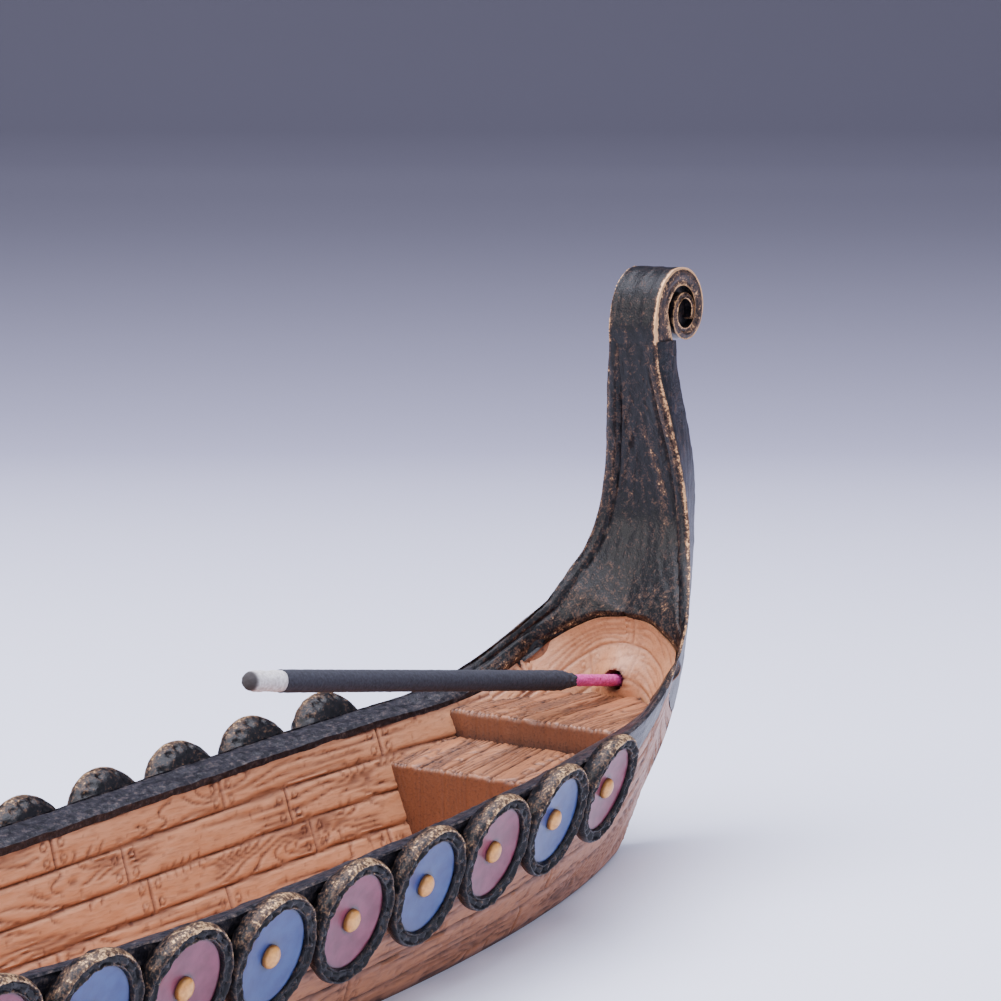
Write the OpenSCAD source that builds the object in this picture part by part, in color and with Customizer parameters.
// Longship incense boat: a cast resin hull painted as planks, with a row of
// round shields on each side, a scrolled stern post, a dragon-head prow, and
// an incense stick that leans out of a socket under the stern arch.
// +X points to the stern, +Z up, the boat stands on z = 0 and is centred.

/* [Hull] */
// Half the beam over the rails at the middle of the boat
beam_half = 21; // [20.5:0.1:21.5]
// Half the width of the flat bottom at the middle of the boat
bottom_half = 15.4; // [14.8:0.1:16]
// Height of the rail at the middle of the boat
rail_height = 17.6; // [17:0.1:18.2]
// Thickness of the outer planking
planking_t = 2; // [1.6:0.1:2.2]
// Thickness of the inner lining
lining_t = 1.3; // [1:0.1:1.5]
// Thickness of the bottom board
bottom_t = 2; // [1.6:0.1:2.2]
// Thickness of the floor boards
floor_t = 1.2; // [0.8:0.1:1.4]
// Depth of the rail, below its outer top edge
rail_depth = 4.5; // [4.2:0.1:4.8]
// Width of the rail's top at the middle of the boat
rail_width = 3.8; // [3.4:0.1:4]

/* [Decks] */
// Where the upper deck's riser stands
upper_deck_x = 83; // [81:0.5:85]
// Height of the upper deck
upper_deck_z = 19.8; // [19:0.1:20]
// Where the lower deck's front edge stands
lower_deck_x = 71.5; // [70:0.5:73]
// Height of the lower deck at its front edge
lower_deck_z = 15; // [14:0.1:15.2]
// Height of the step between the decks
step_h = 3.4; // [3:0.1:3.6]

/* [Shields] */
// Number of shields on each side
shields_per_side = 12;
// Distance between the middles of two shields
shield_pitch = 12.4; // [12.3:0.05:12.6]
// Height of a shield
shield_h = 13.3; // [13:0.1:13.6]
// Width of a shield
shield_w = 12; // [11.4:0.1:12.1]
// Thickness of a shield at its rim
shield_t = 3; // [2.6:0.1:3.1]
// Width of the raised rim
shield_rim = 1.5; // [1.3:0.1:1.8]
// Depth of the painted face below the rim
face_recess = 0.8; // [0.6:0.1:1]

/* [Scroll] */
// Widest radius of the scroll
scroll_r = 7; // [6.8:0.1:7.1]
// How much of its radius the scroll keeps in each quarter turn
scroll_keep = 0.81; // [0.8:0.005:0.82]
// Half the width of the scroll and of the post's neck
neck_half = 3.7; // [3.5:0.1:3.9]

/* [Stick] */
// Diameter of the bare core of the stick
core_d = 1.5; // [1.4:0.05:1.6]
// Diameter of the incense coat
coat_d = 2.6; // [2.4:0.1:2.8]
// Angle that the stick leans up at
stick_lean = 9; // [8:0.5:9.5]
// Depth of the socket
socket_depth = 11; // [9:0.5:12]
// Clearance all round the core in the socket
socket_gap = 0.05; // [0.03:0.01:0.08]
// Length of the stick outside the socket
stick_out = 74; // [60:1:76]
// Length of the bare core outside the socket
bare_core = 10.5; // [8:0.5:12]
// Length of the ash at the tip
ash_len = 6; // [4:0.5:8]

/* [Hidden] */
$fn = 48;
function shield_name(side, i) = str(side, "_shield_", i < 10 ? "0" : "", i);

resin_tan = "#c08a5c";
resin_dark = "#9a6440";
bronze = "#2c2a2b";
plum = "#8a4560";
blue = "#3f62b0";
gold = "#e3a94f";

end_x = 102;       // where the side shells end and the solid ends begin
flat_x = 98.9;     // where the flat bottom ends and the stem lifts off
stem_half = 1.2;   // half the thickness of the stem
stations = 34;     // sections along each shell
rows = 5;          // rows of points up each shell
ease = 0.2;        // room between a deck and the lining beside it

// ---- Lines of the hull ----
function clamp01(a) = min(1, max(0, a));
function smooth(a) = let (c = clamp01(a)) c * c * (3 - 2 * c);

// Height of the rail's outer edge: a slow sheer, then a rise near the ends
function rail_z(x) = rail_height + 3 * pow(abs(x) / 65.5, 1.4)
    + 0.013 * pow(max(0, abs(x) - 77), 2);
function rail_y(x) = beam_half * (1 - 0.47 * pow(abs(x) / 101, 4));
function bottom_y(x) = max(stem_half, bottom_half * (1 - pow(abs(x) / 104, 2.8)));
function bottom_z(x) = max(0, abs(x) - flat_x);

// Half-breadth of the hull at x and height z, fuller low down
function hull_y(x, z) = let (f = clamp01((z - bottom_z(x)) / (rail_z(x) - bottom_z(x))))
    bottom_y(x) + (rail_y(x) - bottom_y(x)) * pow(f, 0.8);

// Towards the ends the shell thins and the rail's top tips inboard
function to_end(x) = smooth((abs(x) - 75) / 27);
function planking_in(x, z) = max(0.3, hull_y(x, z) - planking_t + 0.8 * to_end(x));
function lining_in(x, z) = max(0.2, planking_in(x, z) - lining_t + 0.5 * to_end(x));
function shell_top(x) = rail_z(x) - rail_depth;
function shell_foot(x) = max(bottom_t, bottom_z(x) + 0.8);
// Inner face of the planking's upright foot, beside the bottom board
function foot_in(x) = max(0.1, min(planking_in(x, bottom_z(x)),
    planking_in(x, shell_foot(x)) - 0.15));
function shell_z(x, j) = shell_foot(x) + (shell_top(x) - shell_foot(x)) * j / rows;

// ---- Solids from rings of points ----
// A ring is one closed section; rings lie one after another along the piece. Each
// panel between two rings is split along one diagonal, or along the other if crossed,
// so that two pieces that lie face to face can share their facets.
module loft(rings, crossed = false) {
    n = len(rings[0]);
    m = len(rings);
    sides = [for (i = [0:m - 2], j = [0:n - 1])
        let (a = i * n + j, b = i * n + (j + 1) % n, c = a + n, d = b + n)
        each crossed ? [[a, c, b], [c, d, b]] : [[a, c, d], [a, d, b]]];
    first = [for (j = [0:n - 1]) j];
    last = [for (j = [n - 1:-1:0]) (m - 1) * n + j];
    polyhedron(points = [for (r = rings) each r], faces = concat([first], sides, [last]));
}

// Points on a smooth curve through the points p, n steps from each to the next
function blend4(a, b, c, d, t) = 0.5 * (2 * b + (c - a) * t
    + (2 * a - 5 * b + 4 * c - d) * t * t + (3 * b - a - 3 * c + d) * t * t * t);
function curve(p, n) = [for (i = [0:len(p) - 2], j = [0:n - 1])
    blend4(p[max(i - 1, 0)], p[i], p[i + 1], p[min(i + 2, len(p) - 1)], j / n),
    p[len(p) - 1]];

function xs(a, b, n) = [for (i = [0:n]) a + (b - a) * i / n];

// ---- Hull ----
module bottom_board() {
    side = [for (x = xs(-flat_x + 1, flat_x - 1, stations)) [x, foot_in(x)]];
    color(resin_dark) linear_extrude(bottom_t)
        polygon(concat(side, [for (i = [len(side) - 1:-1:0]) [side[i][0], -side[i][1]]]));
}

module floor_boards() {
    reach = lower_deck_x - 0.05;
    side = [for (x = xs(-reach, reach, 24)) [x, lining_in(x, bottom_t) - ease]];
    color(resin_tan) translate([0, 0, bottom_t]) linear_extrude(floor_t)
        polygon(concat(side, [for (i = [len(side) - 1:-1:0]) [side[i][0], -side[i][1]]]));
}

// Outer planking of the +Y side: straight foot beside the bottom board,
// then the flared side
module planking() {
    loft([for (x = xs(-end_x, end_x, stations)) concat(
        [[x, foot_in(x), bottom_z(x)]],
        [[x, hull_y(x, bottom_z(x)), bottom_z(x)]],
        [for (j = [0:rows]) [x, hull_y(x, shell_z(x, j)), shell_z(x, j)]],
        [for (j = [rows:-1:0]) [x, planking_in(x, shell_z(x, j)), shell_z(x, j)]],
        [[x, foot_in(x), shell_foot(x) - (bottom_z(x) > 0 ? 0.3 : 0)]])]);
}

module lining() {
    loft([for (x = xs(-end_x, end_x, stations)) concat(
        [for (j = [0:rows]) [x, planking_in(x, shell_z(x, j)), shell_z(x, j)]],
        [for (j = [rows:-1:0]) [x, lining_in(x, shell_z(x, j)), shell_z(x, j)]])], true);
}

// Rail of the +Y side: it caps both shells, and its top tips inboard near the ends
module rail() {
    loft([for (x = xs(-end_x, end_x, stations)) let (
        z = rail_z(x), low = shell_top(x), e = to_end(x),
        wide = rail_width - 2.1 * e, fall = 0.9 + 3 * e)
        [[x, lining_in(x, low), low], [x, hull_y(x, low), low], [x, rail_y(x), z],
         [x, rail_y(x) - wide, z - fall]]]);
}

module port_planking() { color(resin_tan) mirror([0, 1, 0]) planking(); }
module starboard_planking() { color(resin_tan) planking(); }
module port_lining() { color(resin_tan) mirror([0, 1, 0]) lining(); }
module starboard_lining() { color(resin_tan) lining(); }
module port_rail() { color(bronze) mirror([0, 1, 0]) rail(); }
module starboard_rail() { color(bronze) rail(); }

// ---- Solid ends ----
// Edge of the post's fore face, from the rail up to the neck
neck_z = 65;
fore_edge = curve([[end_x, rail_y(end_x), rail_z(end_x)], [104.5, 9.4, 34.6],
    [106.8, 7.9, 38], [108, 6.9, 42], [108.3, 6.2, 46], [108, 5.6, 50], [107.2, 5, 54],
    [106.3, 4.4, 58], [105.6, 3.9, 61.5], [105.3, neck_half, neck_z]], 3);
// Edge of the stem, from the forefoot up to the neck
stem_edge = curve([[end_x, stem_half, bottom_z(end_x)], [107.2, 1.2, 7.6],
    [112.6, 1.2, 13.6], [116.4, 1.2, 21.5], [118.3, 1.2, 31], [118.4, 1.6, 39.5],
    [116.6, 2.6, 47.5], [113.4, 3.3, 54.8], [110.6, 3.7, 60.5],
    [109.9, neck_half, neck_z]], 3);

// A point across the side of the end, from the stem (v = 0) to the fore edge (v = 1);
// the side is full like the hull's where it starts, and nearly flat at the neck
end_rings = len(fore_edge);
side_pts = 5;
function end_side(i, v) = let (a = stem_edge[i], b = fore_edge[i],
    full = 1 - 0.2 * clamp01(1 - i / 12), swell = 0.8 * clamp01(i / 9) * v * (1 - v))
    [a[0] + (b[0] - a[0]) * v, a[1] + (b[1] - a[1]) * pow(v, full) + swell,
     a[2] + (b[2] - a[2]) * v];
function flip_y(p) = [p[0], -p[1], p[2]];
function end_ring(i, from, to) = let (side = [for (k = [0:side_pts])
        end_side(i, from + (to - from) * k / side_pts)])
    concat([for (k = [side_pts:-1:0]) flip_y(side[k])], side);

// The planks' share of the side: up to the rail where the end starts, and
// nearly nothing where the black stem takes over
plank_rings = 7;
function plank_share(i) = i > plank_rings ? 0
    : max(0.03, (1 - rail_depth / (rail_z(end_x) - bottom_z(end_x))) * (1 - i / plank_rings));

module end_block() {
    loft([for (i = [0:plank_rings]) end_ring(i, 0, plank_share(i))]);
}

module end_post() {
    loft([for (i = [0:end_rings - 1]) end_ring(i, plank_share(i), 1)]);
}

// ---- Scroll ----
// A strip rolled up outboard: its radius shrinks by the same share in each quarter turn
scroll_x = 112.4;
scroll_z = 68.6;
scroll_quarters = 6.4;
function scroll_point(q, part) = let (a = 180 - 90 * q, r = scroll_r * pow(scroll_keep, q) * part)
    [scroll_x + r * cos(a), scroll_z + r * sin(a)];
module stern_scroll() {
    outer = [for (q = [-0.2:0.2:scroll_quarters]) scroll_point(q, 1)];
    inner = [for (q = [scroll_quarters:-0.2:-0.01])
        scroll_point(q, 0.56 + 0.2 * pow(q / scroll_quarters, 3))];
    color(bronze) rotate([90, 0, 0]) linear_extrude(2 * neck_half, center = true)
        polygon(concat([[stem_edge[end_rings - 1][0], neck_z], [fore_edge[end_rings - 1][0],
            neck_z]], outer, inner));
}

// ---- Stick and its socket ----
mouth = [end_x, 0, 21.7];
// A round bar on the stick's line, between two distances from the socket's mouth
module on_line(from, to, d) {
    translate(mouth) rotate([0, stick_lean - 90, 0]) translate([0, 0, from])
        cylinder(h = to - from, d = d);
}

coat_end = stick_out - ash_len;
module stick_core() { color("#d84c9b") on_line(0.1 - socket_depth, coat_end, core_d); }
module incense_coat() {
    color("#35353d") difference() {
        on_line(bare_core, coat_end, coat_d);
        on_line(bare_core - 1, coat_end + 1, core_d);
    }
}
module ash_tip() { color("#d8d5d5") on_line(coat_end, stick_out, coat_d - 0.2); }

// The socket is bored through the planked end into the post behind it
module socket_bore() { on_line(-socket_depth, 2, core_d + 2 * socket_gap); }
module stern_end() {
    color(resin_tan) difference() {
        end_block();
        socket_bore();
    }
}
module stern_post() {
    color(bronze) difference() {
        end_post();
        socket_bore();
    }
}
module bow_end() { color(resin_tan) mirror([1, 0, 0]) end_block(); }
module bow_post() { color(bronze) mirror([1, 0, 0]) end_post(); }

// ---- Decks ----
// A solid deck between the linings, from x = a to x = b, with its top at z = top_a
// at a and z = top_b at b
module deck(a, b, top_a, top_b, steps) {
    loft([for (x = xs(a, b, steps)) let (
        low = shell_foot(x) + (x > flat_x ? 0.1 : 0),
        top = top_a + (top_b - top_a) * (x - a) / (b - a),
        side = [for (k = [0:3]) let (z = low + (top - low) * k / 3)
            [x, max(0.1, lining_in(x, z) - ease), z]])
        concat([for (k = [3:-1:0]) flip_y(side[k])], side)]);
}
module lower_deck() {
    deck(lower_deck_x, upper_deck_x, lower_deck_z, upper_deck_z - step_h, 5);
}
module upper_deck() { deck(upper_deck_x, end_x, upper_deck_z, upper_deck_z, 10); }
module stern_lower_deck() { color(resin_tan) lower_deck(); }
module stern_upper_deck() { color(resin_tan) upper_deck(); }
module bow_lower_deck() { color(resin_tan) mirror([1, 0, 0]) lower_deck(); }
module bow_upper_deck() { color(resin_tan) mirror([1, 0, 0]) upper_deck(); }

// ---- Shields ----
function shield_x(i) = (i - (shields_per_side + 1) / 2) * shield_pitch;
function shield_z(x) = rail_z(x) + 1.8 + 1.3 * abs(x) / 68.2 - 0.485 * shield_h;
// Slopes of the hull's side where a shield hangs
function slope_z(x, z) = (hull_y(x, z + 0.5) - hull_y(x, z - 0.5));
function slope_x(x, z) = (hull_y(x + 0.5, z) - hull_y(x - 0.5, z));

module oval(w, h) {
    polygon([for (a = [0:10:350]) [w / 2 * cos(a), h / 2 * sin(a)]]);
}
// An upright oval plate, from depth a to depth b outboard of the shield's back
module plate(w, h, a, b) {
    translate([0, b, 0]) rotate([90, 0, 0]) linear_extrude(b - a) oval(w, h);
}
// Hangs its children on the hull's +Y side at x
module hang(x) {
    z = shield_z(x);
    translate([x, hull_y(x, z) + 0.03, z])
        rotate([-atan(slope_z(x, z)), 0, atan(slope_x(x, z))]) children();
}
face_w = shield_w - 2 * shield_rim;
face_h = shield_h - 2 * shield_rim;
module shield_disc() {
    difference() {
        plate(shield_w, shield_h, 0, shield_t);
        plate(face_w, face_h, shield_t - face_recess - 0.4, shield_t + 1);
    }
}
module shield_face() { plate(face_w, face_h, shield_t - face_recess - 0.4, shield_t - face_recess); }
// A boss is a low round stud in the middle of the painted face
module boss() {
    translate([0, shield_t - face_recess, 0]) rotate([-90, 0, 0])
        cylinder(h = 1.1, d1 = 2.4, d2 = 1.4);
}
module starboard_shield(i) { color(bronze) hang(shield_x(i)) shield_disc(); }
module port_shield(i) { mirror([0, 1, 0]) starboard_shield(i); }

// Faces are red on the even shields, so red is next to the stern, and blue on the odd ones
module faces(first) { for (i = [first:2:shields_per_side]) hang(shield_x(i)) shield_face(); }
module bosses() { for (i = [1:shields_per_side]) hang(shield_x(i)) boss(); }
module port_red_faces() { color(plum) mirror([0, 1, 0]) faces(2); }
module port_blue_faces() { color(blue) mirror([0, 1, 0]) faces(1); }
module starboard_red_faces() { color(plum) faces(2); }
module starboard_blue_faces() { color(blue) faces(1); }
module port_bosses() { color(gold) mirror([0, 1, 0]) bosses(); }
module starboard_bosses() { color(gold) bosses(); }

// ---- Dragon-head prow ----
// A head in the round: sections with eight or twelve points lie along a line in space.
// Each place on a line is [x, y, z, half-width, half-height].
head_line = [[-107.6, 0, neck_z, 3.9, 2.3], [-107.8, 0, 67.4, 3.9, 2.8],
    [-109.2, 0, 69.8, 4.1, 3.2], [-112, 0, 70.8, 3.4, 2.6], [-114.8, 0, 70, 2.8, 2],
    [-117, 0, 69.1, 2.4, 1.6], [-118.1, 0, 68.6, 1.4, 0.9]];
jaw_line = [[-109.6, 0, 66.4, 2.9, 1.1], [-112.4, 0, 65.6, 2.4, 1], [-115, 0, 65.2, 1.9, 0.8],
    [-116.8, 0, 65.4, 1.1, 0.5]];
horn_line = [[-108.6, 2.2, 72, 1.2, 1.2], [-106.6, 3.1, 73, 1, 1], [-104.2, 3.8, 73.2, 0.8, 0.8],
    [-101.8, 4, 72.4, 0.4, 0.4]];

// Slope of a line at place i, seen from the side
function heading(line, i) = let (a = line[max(0, i - 1)], b = line[min(len(line) - 1, i + 1)])
    atan2(b[2] - a[2], b[0] - a[0]);
function oval_at(p, slope, n) = [for (k = [0:n - 1]) let (a = 360 * k / n)
    [p[0] - p[4] * sin(a) * sin(slope), p[1] + p[3] * cos(a), p[2] + p[4] * sin(a) * cos(slope)]];
module oval_loft(line, n) {
    loft([for (i = [0:len(line) - 1]) oval_at(line[i], heading(line, i), n)]);
}
module dragon_head() { color(bronze) oval_loft(head_line, 12); }
module dragon_jaw() { color(bronze) oval_loft(jaw_line, 12); }
module dragon_horns() {
    color(gold) for (side = [0, 1]) mirror([0, side, 0]) oval_loft(horn_line, 8);
}
module dragon_eyes() {
    color(gold) for (side = [-1, 1]) translate([-111, side * 2.9, 72]) sphere(d = 2);
}
// Fins down the back of the neck, cut from one plate
module dragon_crest() {
    fins = 5;
    color(bronze) rotate([90, 0, 0]) linear_extrude(1.4, center = true) polygon(concat(
        [[-105.7, 71], [-106.6, 64], [-107, 54], [-105.6, 53]],
        [for (i = [0:fins - 1], top = [0, 1]) let (z = 54.4 + 3.6 * (i + 0.9 * top))
            [(top == 0 ? -106 : -103.2) + 1.1 * clamp01((z - 52) / 8), z]]));
}

// ---- Draw ----
bottom_board();
floor_boards();
port_planking();
starboard_planking();
port_lining();
starboard_lining();
port_rail();
starboard_rail();
stern_end();
stern_post();
stern_scroll();
stern_lower_deck();
stern_upper_deck();
bow_end();
bow_post();
bow_lower_deck();
bow_upper_deck();
dragon_head();
dragon_jaw();
dragon_horns();
dragon_eyes();
dragon_crest();
port_red_faces();
port_blue_faces();
starboard_red_faces();
starboard_blue_faces();
port_bosses();
starboard_bosses();
stick_core();
incense_coat();
ash_tip();
for (i = [1:shields_per_side]) {
    port_shield(i);
    starboard_shield(i);
}
